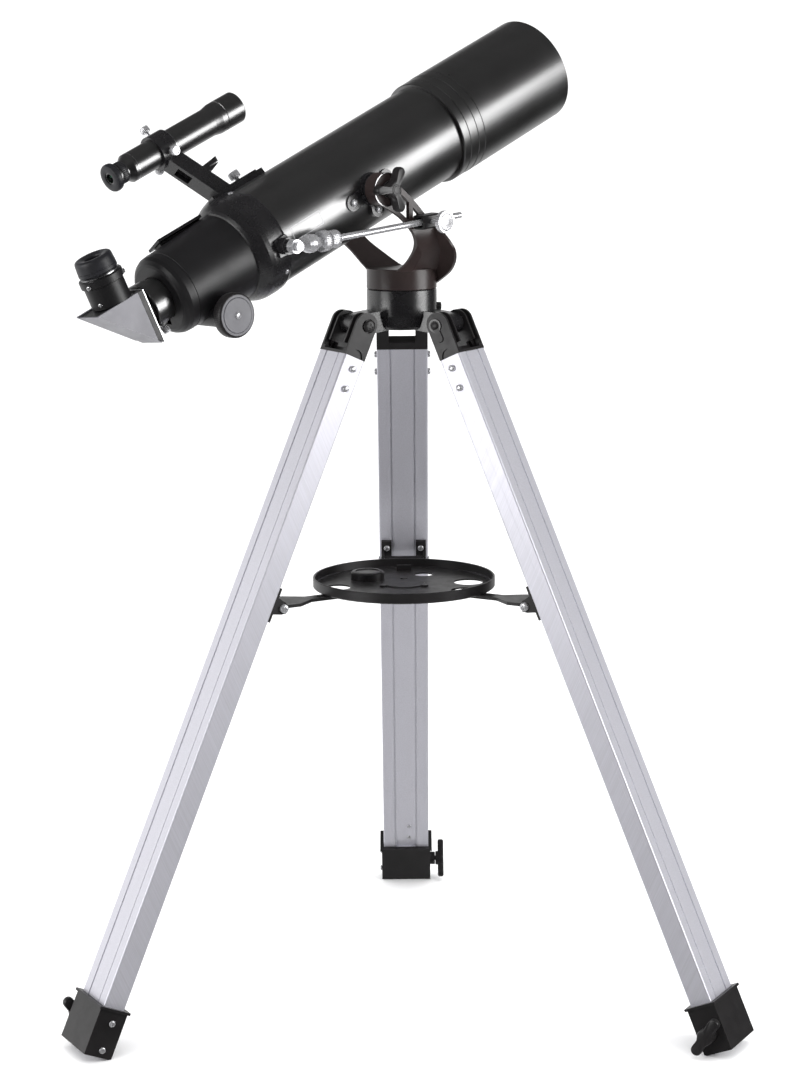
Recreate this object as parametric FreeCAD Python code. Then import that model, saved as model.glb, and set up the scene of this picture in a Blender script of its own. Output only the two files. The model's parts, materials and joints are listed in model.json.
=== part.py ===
"""Refractor telescope on an alt-azimuth fork head and folding aluminium tripod. Millimetres, +Z up."""
import FreeCAD, Part
import math
import os

V = FreeCAD.Vector

# ---- tripod head -------------------------------------------------------------------------
HUB_R = 37.3
HUB_TOP_Z = 780.9
HUB_TAPER_Z = 753.0
HUB_BOTTOM_Z = 739.0
HUB_BOTTOM_R = 31.0
SPINDLE_R = 12.0
RUN_GAP = 0.05
FREE_GAP = 0.3
PIVOT_RADIUS = 56.3
PIVOT_Z = 745.5
LUG_HALF = 14.2
LUG_R = 11.0
PIVOT_BOLT_R = 4.0
LOCK_AZIMUTH = 12.0
LOCK_Z = 761.0

# ---- legs --------------------------------------------------------------------------------
LEG_AZIMUTHS = {"left": 210.0, "right": 330.0, "back": 90.0}
LEG_ANGLE = 24.03
LEG_IN = -10.0
LEG_OUT = 14.9
LEG_HALF = 28.0
LEG_TOP = 36.0
LEG_WALL = 2.0
LEG_END = 781.0
GROOVE_Y = 13.0
FOOT_TOP = 757.6
FOOT_END = 810.2
FOOT_IN = -13.75
FOOT_OUT = 18.75
FOOT_HALF = 30.5
FOOT_SHAVE = 1.0
SLIDER_TOP = 130.0
SCREW_R = 2.6

# ---- tray and braces ---------------------------------------------------------------------
TRAY_R = 99.0
TRAY_FLOOR_Z = 457.5
TRAY_SHEET = 1.7
TRAY_TOP_Z = 468.8
EYEPIECE_HOLE_R = 16.2
BRACE_PIN_N = -23.0
BRACE_PIN_S = 308.0
BRACE_PIN_R = 2.5
BRACE_THICK = 3.5
BRACE_EYE_RADIUS = 26.0
STRAP_THICK = 3.5

# ---- fork --------------------------------------------------------------------------------
POINTING = 42.53
ELEVATION = 22.96
AXIS_W = -87.56
AXIS_Z = 890.08
FORK_FLOOR_Z = 803.0
FORK_BASE_Z = 781.2
ARM_IN = 60.0
ARM_OUT = 64.5
EYE_R = 17.0
EYE_OUT = 75.0
STUD_R = 5.0
ROD_H = 73.5
ROD_R = 3.25
ROD_BORE_R = 5.6
ROD_A = (-210.0, 839.0)
CLAMP_B = (-30.0, 855.8)

# ---- optical tube ------------------------------------------------------------------------
TUBE_R = 52.5
TUBE_WALL = 1.6
TUBE_HALF = 138.0
DEW_R = 57.0
DEW_WALL = 2.1
DEW_START = 156.0
DEW_END = 303.3
SPIGOT_R = 55.4
SPIGOT_END = 172.0
SHOULDER_GAP = 1.0
LENS_R = 50.0
BODY_FRONT = -163.0
BODY_REAR = -255.0
DRAW_R = 22.5
DRAW_REAR = -277.0
BARREL_R = 15.8
PINION_X = -215.0
PINION_Z = -34.5
PINION_R = 6.8
KNOB_R = 22.0
FINDER_ROLL = 30.4
FINDER_AXIS = 126.6
FINDER_R = 14.75
DIAGONAL_ROLL = 5.0
DIAGONAL_X = -306.0


# ---- small helpers -----------------------------------------------------------------------
def block(x0, x1, y0, y1, z0, z1):
    return Part.makeBox(x1 - x0, y1 - y0, z1 - z0, V(x0, y0, z0))


def cyl_x(radius, x0, x1, y=0.0, z=0.0):
    return Part.makeCylinder(radius, x1 - x0, V(x0, y, z), V(1, 0, 0))


def cyl_y(radius, y0, y1, x=0.0, z=0.0):
    return Part.makeCylinder(radius, y1 - y0, V(x, y0, z), V(0, 1, 0))


def cyl_z(radius, z0, z1, x=0.0, y=0.0):
    return Part.makeCylinder(radius, z1 - z0, V(x, y, z0), V(0, 0, 1))


def turned_x(points, z=0.0):
    """Solid of revolution about an axis along X at height z, from (along, radius) points."""
    wire = Part.makePolygon([V(a, 0, z + r) for a, r in points + points[:1]])
    return Part.Face(wire).revolve(V(0, 0, z), V(1, 0, 0), 360)


def turned_z(points):
    """Solid of revolution about Z from (radius, height) points."""
    wire = Part.makePolygon([V(r, 0, h) for r, h in points + points[:1]])
    return Part.Face(wire).revolve(V(0, 0, 0), V(0, 0, 1), 360)


def plate_y(points, y0, y1):
    """Plate with an outline of (x, z) points between two Y planes."""
    wire = Part.makePolygon([V(x, y0, z) for x, z in points + points[:1]])
    return Part.Face(wire).extrude(V(0, y1 - y0, 0))


def plate_x(points, x0, x1):
    wire = Part.makePolygon([V(x0, y, z) for y, z in points + points[:1]])
    return Part.Face(wire).extrude(V(x1 - x0, 0, 0))


def plate_z(points, z0, z1):
    wire = Part.makePolygon([V(x, y, z0) for x, y in points + points[:1]])
    return Part.Face(wire).extrude(V(0, 0, z1 - z0))


def curve_edge(points, to_space):
    """Straight edge through two points, or a smooth curve through more."""
    spots = [to_space(a, b) for a, b in points]
    if len(spots) == 2:
        return Part.LineSegment(spots[0], spots[1]).toShape()
    curve = Part.BSplineCurve()
    curve.interpolate(spots)
    return curve.toShape()


def curved_plate_y(runs, y0, y1):
    """Plate between two Y planes whose outline is made of joined runs of (x, z) points."""
    wire = Part.Wire([curve_edge(run, lambda x, z: V(x, y0, z)) for run in runs])
    return Part.Face(wire).extrude(V(0, y1 - y0, 0))


def curved_plate_x(runs, x0, x1):
    wire = Part.Wire([curve_edge(run, lambda y, z: V(x0, y, z)) for run in runs])
    return Part.Face(wire).extrude(V(x1 - x0, 0, 0))


def ring_points(radius, count, start=0.0):
    steps = [math.radians(start + 360.0 * i / count) for i in range(count)]
    return [(radius * math.cos(a), radius * math.sin(a)) for a in steps]


def fused(shapes):
    result = shapes[0].fuse(shapes[1:]) if len(shapes) > 1 else shapes[0]
    return result.removeSplitter()


def drilled(shape, tools):
    for tool in tools:
        shape = shape.cut(tool)
    return shape.removeSplitter()


def frame(origin, x_axis, z_axis):
    """Placement whose local X and Z run along the given unit vectors."""
    y_axis = z_axis.cross(x_axis)
    matrix = FreeCAD.Matrix(
        x_axis.x, y_axis.x, z_axis.x, origin.x,
        x_axis.y, y_axis.y, z_axis.y, origin.y,
        x_axis.z, y_axis.z, z_axis.z, origin.z,
        0, 0, 0, 1)
    return FreeCAD.Placement(matrix)


def put(shape, place):
    moved = shape.copy()
    moved.Placement = place.multiply(moved.Placement)
    return moved


def rolled(shape, degrees):
    """Turn about the local X axis so that +Z leans toward +Y."""
    moved = shape.copy()
    moved.rotate(V(0, 0, 0), V(1, 0, 0), -degrees)
    return moved


# ---- working frames ----------------------------------------------------------------------
beta = math.radians(POINTING)
lift = math.radians(ELEVATION)
FORWARD = V(math.cos(beta), math.sin(beta), 0)
UP = V(0, 0, 1)
TUBE_AXIS = FORWARD * math.cos(lift) + UP * math.sin(lift)
TUBE_UP = UP * math.cos(lift) - FORWARD * math.sin(lift)
FORK = frame(V(0, 0, 0), FORWARD, UP)
TUBE = frame(FORWARD * AXIS_W + UP * AXIS_Z, TUBE_AXIS, TUBE_UP)
rod_run = math.atan2(CLAMP_B[1] - ROD_A[1], CLAMP_B[0] - ROD_A[0])
ROD_DIR = FORWARD * math.cos(rod_run) + UP * math.sin(rod_run)
ROD_UP = UP * math.cos(rod_run) - FORWARD * math.sin(rod_run)
ROD = frame(FORWARD * ROD_A[0] + UP * ROD_A[1], ROD_DIR, ROD_UP)
CLAMP = frame(FORWARD * CLAMP_B[0] + UP * CLAMP_B[1], ROD_DIR, ROD_UP)


def radial(azimuth):
    return V(math.cos(math.radians(azimuth)), math.sin(math.radians(azimuth)), 0)


def leg_frame(azimuth):
    """Local X points out of the leg's outer face and local Z runs down the leg from its pivot."""
    tilt = math.radians(LEG_ANGLE)
    outward = radial(azimuth)
    down = outward * math.sin(tilt) - UP * math.cos(tilt)
    face = outward * math.cos(tilt) + UP * math.sin(tilt)
    return frame(outward * PIVOT_RADIUS + UP * PIVOT_Z, face, down)


nodes = {}

# ---- head hub ----------------------------------------------------------------------------
hub = turned_z([
    (0, HUB_BOTTOM_Z), (HUB_BOTTOM_R, HUB_BOTTOM_Z), (HUB_BOTTOM_R + 3, HUB_BOTTOM_Z + 3),
    (HUB_R, HUB_TAPER_Z), (HUB_R, HUB_TOP_Z - 0.8), (HUB_R - 0.8, HUB_TOP_Z), (0, HUB_TOP_Z)])
lugs = []
for azimuth in LEG_AZIMUTHS.values():
    side = frame(UP * PIVOT_Z, radial(azimuth), UP)
    web = plate_y([(20, -6.5), (PIVOT_RADIUS - 2, -LUG_R), (PIVOT_RADIUS, LUG_R), (20, LUG_R + 4)],
                  -LUG_HALF, LUG_HALF)
    knuckle = cyl_y(LUG_R, -LUG_HALF, LUG_HALF, PIVOT_RADIUS)
    lugs.append(put(fused([web, knuckle]), side))
hub = fused([hub] + lugs)
hub_cuts = [cyl_z(SPINDLE_R + RUN_GAP, HUB_BOTTOM_Z - 1, HUB_TOP_Z + 1), cyl_z(20, HUB_BOTTOM_Z - 1, 745.0)]
for azimuth in LEG_AZIMUTHS.values():
    side = frame(UP * PIVOT_Z, radial(azimuth), UP)
    hub_cuts.append(put(cyl_y(PIVOT_BOLT_R, -LUG_HALF - 1, LUG_HALF + 1, PIVOT_RADIUS), side))
lock_frame = frame(UP * LOCK_Z, radial(LOCK_AZIMUTH), UP)
hub_cuts.append(put(cyl_x(3.05, 24, HUB_R + 2), lock_frame))
nodes["head_hub"] = drilled(hub, hub_cuts)

lock = drilled(fused([cyl_x(3.0, 28, 39.0), cyl_x(4.2, 37.7, 42.4)]), [block(41.4, 43, -0.7, 0.7, -5, 5)])
nodes["azimuth_lock_screw"] = put(lock, lock_frame)

bolts = []
for azimuth in LEG_AZIMUTHS.values():
    side = frame(radial(azimuth) * PIVOT_RADIUS + UP * PIVOT_Z, radial(azimuth), UP)
    shank = cyl_y(PIVOT_BOLT_R, -26.0, 28.6)
    head = cyl_y(7.0, -29.2, -25.9)
    cross = [block(-4.2, 4.2, -30.0, -28.0, -0.8, 0.8), block(-0.8, 0.8, -30.0, -28.0, -4.2, 4.2)]
    nut = plate_y(ring_points(6.6, 6), 25.9, 29.6)
    bolts.append(put(drilled(fused([shank, head, nut]), cross), side))
nodes["leg_pivot_bolts"] = Part.makeCompound(bolts)


# ---- one leg -----------------------------------------------------------------------------
def leg_bracket():
    ear_outline = fused([cyl_y(12.45, -LEG_HALF, LEG_HALF, 2.45, -0.5),
                         block(LEG_IN, LEG_OUT, -LEG_HALF, LEG_HALF, -0.5, LEG_TOP)])
    plug = block(LEG_IN + LEG_WALL, LEG_OUT - LEG_WALL, -26.0, 26.0, LEG_TOP, 60.0)
    cuts = [block(-20, 20, -LUG_HALF - FREE_GAP, LUG_HALF + FREE_GAP, -20, 27.5),
            cyl_y(PIVOT_BOLT_R + RUN_GAP, -40, 40),
            cyl_y(7.6, -30, -25.6), cyl_y(7.6, 25.6, 30),
            block(4.0, 20, -20.0, 20.0, 24.0, 33.0)]
    for face in (-1, 1):
        y0, y1 = sorted([face * 26.3, face * 30.0])
        cuts.append(cyl_y(8.8, y0, y1, 2.45, LEG_TOP).cut(block(-20, 30, -40, 40, LEG_TOP, 60)))
        cuts.append(block(7.4, 20, *sorted([face * 17.0, face * 24.5]), -20, 30.0))
    for along in (48.0, 70.0):
        cuts.append(cyl_y(1.9, -30, 30, 0.6, along))
    return drilled(fused([ear_outline, plug]), cuts)


def leg_outer():
    body = block(LEG_IN, LEG_OUT, -LEG_HALF, LEG_HALF, LEG_TOP, LEG_END)
    edges = [e for e in body.Edges if abs(e.Vertexes[0].Z - e.Vertexes[-1].Z) > 1]
    body = body.makeFillet(1.8, edges)
    cuts = [block(LEG_IN + LEG_WALL, LEG_OUT - LEG_WALL, -26.0, 26.0, LEG_TOP - 1, LEG_END + 1)]
    for y in (-GROOVE_Y, GROOVE_Y):
        cuts.append(block(LEG_OUT - 1.1, LEG_OUT + 1, y - 1.1, y + 1.1, LEG_TOP - 1, LEG_END + 1))
        cuts.append(block(LEG_IN - 1, LEG_IN + 1.1, y - 1.1, y + 1.1, LEG_TOP - 1, LEG_END + 1))
    cuts.append(block(LEG_OUT - 0.45, LEG_OUT + 1, -GROOVE_Y, GROOVE_Y, LEG_TOP - 1, LEG_END + 1))
    cuts.append(block(LEG_IN - 1, LEG_IN + 3.0, -11.8, 11.8, 746.0, FOOT_TOP))
    for along in (48.0, 70.0):
        cuts.append(cyl_y(1.9, -40, 40, 0.6, along))
    return drilled(body, cuts)


def leg_slider():
    x0 = LEG_IN + LEG_WALL + FREE_GAP
    x1 = LEG_OUT - LEG_WALL - FREE_GAP
    body = block(x0, x1, -25.7, 25.7, SLIDER_TOP, FOOT_END - 3.0)
    return drilled(body, [block(x0 + 2, x1 - 2, -23.7, 23.7, SLIDER_TOP - 1, FOOT_END - 22.0)])


def foot_clamp(azimuth):
    box = block(FOOT_IN, FOOT_OUT, -FOOT_HALF, FOOT_HALF, FOOT_TOP, FOOT_END)
    lip = block(FOOT_IN - 2.0, FOOT_OUT + 2.0, -FOOT_HALF - 2.0, FOOT_HALF + 2.0, FOOT_TOP, FOOT_TOP + 2.8)
    boss = cyl_y(8.0, FOOT_HALF - 1, FOOT_HALF + 6.0, 2.45, 788.0)
    cuts = [block(LEG_IN, LEG_OUT, -LEG_HALF, LEG_HALF, FOOT_TOP - 1, LEG_END),
            block(LEG_IN + LEG_WALL, LEG_OUT - LEG_WALL, -26.0, 26.0, LEG_END - 1, FOOT_END + 1),
            cyl_y(3.05, 20, FOOT_HALF + 8, 2.45, 788.0)]
    local = drilled(fused([box, lip, boss]), cuts)
    ground = block(-600, 600, -600, 600, -50, FOOT_SHAVE)
    return put(local, leg_frame(azimuth)).cut(ground)


def foot_knob():
    shaft = cyl_y(3.0, 26.2, 46.0, 2.45, 788.0)
    hub_disc = cyl_y(8.6, 37.0, 47.4, 2.45, 788.0)
    wing = plate_y([(-21.5, -5.6), (-9, -7.2), (0, -6), (9, -7.2), (21.5, -5.6), (23.6, 0),
                    (21.5, 5.6), (9, 7.2), (0, 6), (-9, 7.2), (-21.5, 5.6), (-23.6, 0)], 0, 5.6)
    wing.translate(V(0, 42.0, 0))
    wing.rotate(V(0, 0, 0), V(0, 1, 0), 35)
    wing.translate(V(2.45, 0, 788.0))
    return fused([shaft, hub_disc, wing])


def leg_screws():
    screws = []
    for face in (-1, 1):
        for along in (48.0, 70.0):
            shank = cyl_y(1.85, *sorted([face * 16.0, face * 28.2]), 0.6, along)
            head = cyl_y(3.6, *sorted([face * LEG_HALF, face * 29.8]), 0.6, along)
            screws.append(fused([shank, head]))
    for along in (772.8, 802.0):
        screws.append(cyl_y(SCREW_R, -FOOT_HALF - 1.2, -FOOT_HALF, 0.3, along))
    for along in (723.7, 741.9):
        screws.append(cyl_x(2.4, LEG_IN - 0.9, LEG_IN, 4.0, along))
    for y in (-19.5, 19.5):
        screws.append(cyl_x(3.2, LEG_IN - STRAP_THICK - 1.4, LEG_IN - STRAP_THICK, y, 297.5))
    pin = cyl_y(BRACE_PIN_R, -26.0, 26.0, BRACE_PIN_N, BRACE_PIN_S)
    pin_head = cyl_y(4.6, -28.0, -25.5, BRACE_PIN_N, BRACE_PIN_S)
    pin_nut = cyl_y(4.6, 25.5, 28.0, BRACE_PIN_N, BRACE_PIN_S)
    screws.append(fused([pin, pin_head, pin_nut]))
    return Part.makeCompound(screws)


def tray_bracket():
    straps = []
    for face in (-1, 1):
        y0, y1 = sorted([face * 14.0, face * 25.5])
        straps.append(block(LEG_IN - STRAP_THICK, LEG_IN, y0, y1, 289.0, 327.0))
        ear = plate_y([(-13.0, 299.5), (BRACE_PIN_N, 301.5), (BRACE_PIN_N - 5, 304.5), (BRACE_PIN_N - 6, 308.0),
                       (BRACE_PIN_N - 5, 312.0), (BRACE_PIN_N, 315.0), (-13.0, 318.0)],
                      *sorted([face * 22.6, face * 25.5]))
        straps.append(ear)
    cross = block(LEG_IN - STRAP_THICK, LEG_IN, -14.5, 14.5, 318.0, 327.0)
    return drilled(fused(straps + [cross]), [cyl_y(BRACE_PIN_R, -40, 40, BRACE_PIN_N, BRACE_PIN_S)])


def brace_pin_point():
    tilt = math.radians(LEG_ANGLE)
    r = PIVOT_RADIUS + BRACE_PIN_N * math.cos(tilt) + BRACE_PIN_S * math.sin(tilt)
    z = PIVOT_Z + BRACE_PIN_N * math.sin(tilt) - BRACE_PIN_S * math.cos(tilt)
    return r, z


def tray_brace(azimuth):
    pin_r, pin_z = brace_pin_point()
    top = TRAY_FLOOR_Z - 0.3
    outline = [(BRACE_EYE_RADIUS - 8, -4.0), (BRACE_EYE_RADIUS - 8, 4.0), (BRACE_EYE_RADIUS - 3, 8.0),
               (118, 8.0), (138, 22.0), (pin_r - 2.0, 22.0), (pin_r - 2.0, -22.0), (138, -22.0),
               (118, -8.0), (BRACE_EYE_RADIUS - 3, -8.0)]
    bar = plate_z(outline, top - BRACE_THICK, top)
    curl = cyl_y(4.6, -22.0, 22.0, pin_r, pin_z)
    cuts = [cyl_y(BRACE_PIN_R + RUN_GAP, -30, 30, pin_r, pin_z),
            cyl_z(4.3, top - 10, top + 1, BRACE_EYE_RADIUS, 0)]
    for x in (60.0, 80.0, 100.0):
        cuts.append(block(x - 7, x + 7, -1.2, 1.2, top - 0.8, top + 1))
    return put(drilled(fused([bar, curl]), cuts), frame(V(0, 0, 0), radial(azimuth), UP))


for name, azimuth in LEG_AZIMUTHS.items():
    place = leg_frame(azimuth)
    nodes["leg_bracket_" + name] = put(leg_bracket(), place)
    nodes["leg_upper_" + name] = put(leg_outer(), place)
    nodes["leg_slider_" + name] = put(leg_slider(), place)
    nodes["foot_clamp_" + name] = foot_clamp(azimuth)
    nodes["foot_knob_" + name] = put(foot_knob(), place)
    nodes["leg_screws_" + name] = put(leg_screws(), place)
    nodes["tray_bracket_" + name] = put(tray_bracket(), place)
    nodes["tray_brace_" + name] = tray_brace(azimuth)

# ---- accessory tray ----------------------------------------------------------------------
floor_top = TRAY_FLOOR_Z + TRAY_SHEET
tray = turned_z([
    (0, TRAY_FLOOR_Z), (TRAY_R - 1.2, TRAY_FLOOR_Z), (TRAY_R, TRAY_FLOOR_Z + 1.2), (TRAY_R, TRAY_TOP_Z - 0.6),
    (TRAY_R - 0.6, TRAY_TOP_Z), (TRAY_R - 1.5, TRAY_TOP_Z), (TRAY_R - 2.1, TRAY_TOP_Z - 0.6),
    (TRAY_R - 2.1, floor_top + 1.0), (TRAY_R - 3.1, floor_top), (24, floor_top), (22, floor_top + 1.2),
    (0, floor_top + 1.2)])
studs = []
for azimuth in LEG_AZIMUTHS.values():
    spot = radial(azimuth) * BRACE_EYE_RADIUS
    studs.append(cyl_z(2.2, 451.5, TRAY_FLOOR_Z + 0.5, spot.x, spot.y))
    studs.append(cyl_z(4.0, floor_top - 0.2, floor_top + 2.0, spot.x, spot.y))
tab = block(-8, 8, 74.0, 76.0, floor_top - 0.3, floor_top + 6.5)
tray_holes = []
for hole_azimuth, hole_radius, size in ((8.0, 71.0, EYEPIECE_HOLE_R), (-28.0, 73.0, 14.0),
                                        (191.0, 73.0, 14.0), (68.0, 58.0, 10.5)):
    spot = radial(hole_azimuth) * hole_radius
    tray_holes.append(cyl_z(size, TRAY_FLOOR_Z - 1, floor_top + 1, spot.x, spot.y))
CAP_X = -40.0
CAP_Y = 31.0
tray_holes.append(cyl_z(15.9, TRAY_FLOOR_Z - 1, floor_top + 1, CAP_X, CAP_Y))
nodes["accessory_tray"] = drilled(fused([tray, tab] + studs), tray_holes)
cap = turned_z([(0, 455.8), (15.2, 455.8), (15.85, 456.6), (15.85, floor_top), (18.4, floor_top),
                (18.4, floor_top + 7.2), (17.2, floor_top + 8.6), (13.5, floor_top + 9.0),
                (13.0, floor_top + 8.0), (0, floor_top + 8.0)])
cap.translate(V(CAP_X, CAP_Y, 0))
nodes["eyepiece_cap"] = cap

# ---- fork --------------------------------------------------------------------------------
REAR_EDGE = [(-29.0, 800.0), (-28.0, 808.0), (-28.8, 818.0), (-33.0, 829.0), (-41.0, 843.0), (-51.5, 854.0),
             (-60.0, 860.5), (-68.5, 865.5), (-79.0, 870.5), (-87.0, 873.2)]
FRONT_LOW = [(-8.5, 849.5), (-6.2, 843.0), (-2.7, 836.5), (3.3, 828.0), (11.2, 818.0), (18.8, 808.5), (23.4, 801.5)]
FRONT_HIGH = [(-8.5, 849.5), (-24.8, 862.0), (-38.5, 875.0), (-51.6, 885.6), (-66.0, 896.3), (-77.0, 903.5)]
side = fused([
    curved_plate_y([REAR_EDGE, [REAR_EDGE[-1], FRONT_HIGH[-1]], FRONT_HIGH[::-1], FRONT_LOW,
                    [FRONT_LOW[-1], REAR_EDGE[0]]], -90, 90),
    cyl_y(EYE_R, -90, 90, AXIS_W, AXIS_Z)])
TROUGH = [(24.0, FORK_FLOOR_Z), (33.0, 808.8), (44.0, 818.5), (54.0, 828.6), (58.8, 837.0), (ARM_IN, 846.0)]
SHELL = [(ARM_OUT, 847.0), (63.4, 837.0), (58.4, 826.0), (48.5, 815.0), (38.5, 805.5), (32.5, 799.8)]
arms = []
for face in (-1, 1):
    trough = [(face * y, z) for y, z in TROUGH]
    shell = [(face * y, z) for y, z in SHELL]
    top = [(face * ARM_IN, 920.0), (face * ARM_OUT, 920.0)]
    foot = (face * TROUGH[0][0], SHELL[-1][1])
    arms.append(curved_plate_x([trough, [trough[-1], top[0]], top, [top[1], shell[0]], shell,
                                [shell[-1], foot], [foot, trough[0]]], -130, 60))
skirt = fused([turned_z([(0, 780), (HUB_R, 780), (HUB_R, 801), (39.5, 803.5), (45, 808.5), (55, 818), (68, 829),
                         (78, 840), (92, 850), (0, 850)]), cyl_z(150, 850, 930), block(0, 100, -100, 100, 780, 930)])
plates = side.common(fused(arms)).common(skirt)
FIN_RIM = [(22.0, 784.5), (28.0, 787.0), (37.4, 792.0), (48.0, 797.6), (62.4, 807.4), (73.6, 817.5), (79.0, 827.2),
           (78.0, 836.4), (72.6, 844.0), (63.0, 849.2)]
FIN_ROOT = [(63.0, 849.2), (62.0, 838.0), (56.5, 826.5), (46.5, 815.5), (36.0, 806.0), (28.0, 798.0), (22.0, 784.5)]
FIN_LINE = [(-11.5, 853.0), (-8.6, 846.5), (-5.0, 838.5), (2.4, 828.0), (10.3, 818.0), (17.9, 808.5),
            (23.0, 800.6), (25.9, 793.5), (27.4, 783.0)]
FIN_THICK = 3.2
fin_back = [(x - FIN_THICK, z) for x, z in FIN_LINE]
fin_band = curved_plate_y([FIN_LINE, [FIN_LINE[-1], fin_back[-1]], fin_back[::-1], [fin_back[0], FIN_LINE[0]]],
                          -90, 90)
fins = []
for face in (-1, 1):
    rim = [(face * y, z) for y, z in FIN_RIM]
    root = [(face * y, z) for y, z in FIN_ROOT]
    fins.append(curved_plate_x([rim, root], -60, 60).common(fin_band))
base = turned_z([(0, FORK_BASE_Z), (HUB_R - 0.8, FORK_BASE_Z), (HUB_R, FORK_BASE_Z + 0.8),
                 (HUB_R, FORK_FLOOR_Z - 0.6), (HUB_R - 0.6, FORK_FLOOR_Z), (0, FORK_FLOOR_Z)])
eyes = []
fork_cuts = [cyl_z(SPINDLE_R, FORK_BASE_Z - 1, 797.0)]
WEB_OPENINGS = [
    [(-67.5, 870.6), (-58.0, 864.0), (-49.0, 857.8), (-48.0, 858.6), (-48.0, 875.6), (-57.0, 883.2), (-66.5, 885.5)],
    [(-42.5, 857.2), (-38.4, 859.4), (-33.8, 862.4), (-42.5, 870.6)]]
for face in (-1, 1):
    eyes.append(cyl_y(EYE_R, *sorted([face * ARM_IN, face * EYE_OUT]), AXIS_W, AXIS_Z))
    fork_cuts.append(cyl_y(STUD_R + RUN_GAP, *sorted([face * 50, face * 90]), AXIS_W, AXIS_Z))
for opening in WEB_OPENINGS:
    fork_cuts.append(plate_y(opening, -70, 70))
fork_cuts.append(cyl_y(4.0, -80, -50, CLAMP_B[0], CLAMP_B[1]))
yoke = drilled(fused([base, plates] + fins + eyes), fork_cuts)
nodes["fork_yoke"] = put(yoke, FORK)
nodes["azimuth_spindle"] = cyl_z(SPINDLE_R, 740.0, 797.0)
spindle_nut = drilled(plate_z(ring_points(19.0, 6), 739.6, 744.7), [cyl_z(SPINDLE_R, 730, 750)])
nodes["azimuth_nut"] = spindle_nut
nodes["rod_clamp_pin"] = put(cyl_y(4.0, -67.5, -ARM_IN, CLAMP_B[0], CLAMP_B[1]), FORK)

# ---- slow-motion rod ---------------------------------------------------------------------
clamp_body = block(-12, 12, -80.2, -64.8, -7.2, 7.2)
clamp_edges = [e for e in clamp_body.Edges if abs(e.Vertexes[0].X - e.Vertexes[-1].X) > 1]
clamp_body = clamp_body.makeFillet(2.0, clamp_edges)
nodes["rod_clamp"] = put(drilled(clamp_body, [
    cyl_x(ROD_BORE_R, -20, 20, -ROD_H, 0), cyl_y(4.05, -68.5, -60), cyl_y(2.55, -90, -76)]), CLAMP)
thumb = fused([cyl_y(2.5, -96, -79.6), cyl_y(5.0, -96.2, -90.0),
               plate_y(ring_points(11.2, 24), -101.5, -96.0)])
nodes["rod_lock_screw"] = put(thumb, CLAMP)
rod = turned_x([(0, 0), (0, 3.0), (8, 4.2), (11, 6.2), (14, 8.2), (18, 9.2), (22, 9.2), (26, 8.2),
                (29, 6.0), (31, 5.0), (33, 5.0), (33, 9.6), (35, 10.2), (40, 10.2), (42, 9.6), (42, ROD_R),
                (227, ROD_R), (228.2, ROD_R - 1.2), (228.2, 0)])
rod.translate(V(0, -ROD_H, 0))
rod = drilled(fused([rod, cyl_y(7.0, -77.5, -69.5)]), [cyl_y(2.55, -90, -60)])
nodes["adjuster_rod"] = put(rod, ROD)
nut = drilled(turned_x([(44, 0), (44, 7.6), (45, 8.6), (54, 8.6), (55, 7.6), (55, 0)]),
              [cyl_x(ROD_R + RUN_GAP, 40, 60)])
nut.translate(V(0, -ROD_H, 0))
nodes["adjuster_nut"] = put(nut, ROD)


# ---- star knobs --------------------------------------------------------------------------
def star_knob(face):
    parts = [cyl_y(8.6, *sorted([face * 77.0, face * 89.5]))]
    for angle in (180.0, 66.0, -66.0):
        arm = plate_y([(4, -3.8), (17, -3.2), (23.4, -4.4), (24.6, 0), (23.4, 4.4), (17, 3.2), (4, 3.8)],
                      *sorted([face * 79.0, face * 88.5]))
        arm.rotate(V(0, 0, 0), V(0, 1, 0), -angle)
        parts.append(arm)
    hole = cyl_y(STUD_R - 0.8 + RUN_GAP, *sorted([face * 70, face * 87.5]))
    knob = drilled(fused(parts), [hole])
    knob.translate(V(AXIS_W, 0, AXIS_Z))
    return put(knob, FORK)


nodes["altitude_knob_near"] = star_knob(-1)
nodes["altitude_knob_far"] = star_knob(1)

# ---- optical tube ------------------------------------------------------------------------
tube_shell = cyl_x(TUBE_R, -TUBE_HALF, TUBE_HALF).cut(cyl_x(TUBE_R - TUBE_WALL, -200, 200))
nodes["main_tube"] = put(tube_shell, TUBE)
cell = turned_x([(134, TUBE_R), (134, 55.6), (135, 56.5), (143, 56.5), (143.6, 55.9), (144.4, 55.9),
                 (145, 56.5), (DEW_START, 56.5), (DEW_START, SPIGOT_R), (SPIGOT_END, SPIGOT_R),
                 (SPIGOT_END, 53.2), (153, 53.2), (151, LENS_R), (TUBE_HALF, LENS_R), (TUBE_HALF, TUBE_R)])
nodes["lens_cell"] = put(cell, TUBE)
lens = turned_x([(140.0, 0), (140.6, 20), (142.2, 36), (144.0, LENS_R), (147.0, LENS_R), (149.6, 36),
                 (151.6, 20), (152.4, 0)])
nodes["objective_lens"] = put(lens, TUBE)
dew = turned_x([(DEW_START, SPIGOT_R + RUN_GAP), (DEW_START, 56.4), (DEW_START + 0.6, DEW_R),
                (DEW_START + 9, DEW_R), (DEW_START + 9.5, 56.5), (DEW_START + 10.3, 56.5),
                (DEW_START + 10.8, DEW_R), (DEW_END - 0.7, DEW_R), (DEW_END, 56.3),
                (DEW_END, 55.7), (DEW_END - 0.5, DEW_R - DEW_WALL),
                (SPIGOT_END + SHOULDER_GAP, DEW_R - DEW_WALL), (SPIGOT_END + SHOULDER_GAP, SPIGOT_R + RUN_GAP)])
nodes["dew_shield"] = put(dew, TUBE)
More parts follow.
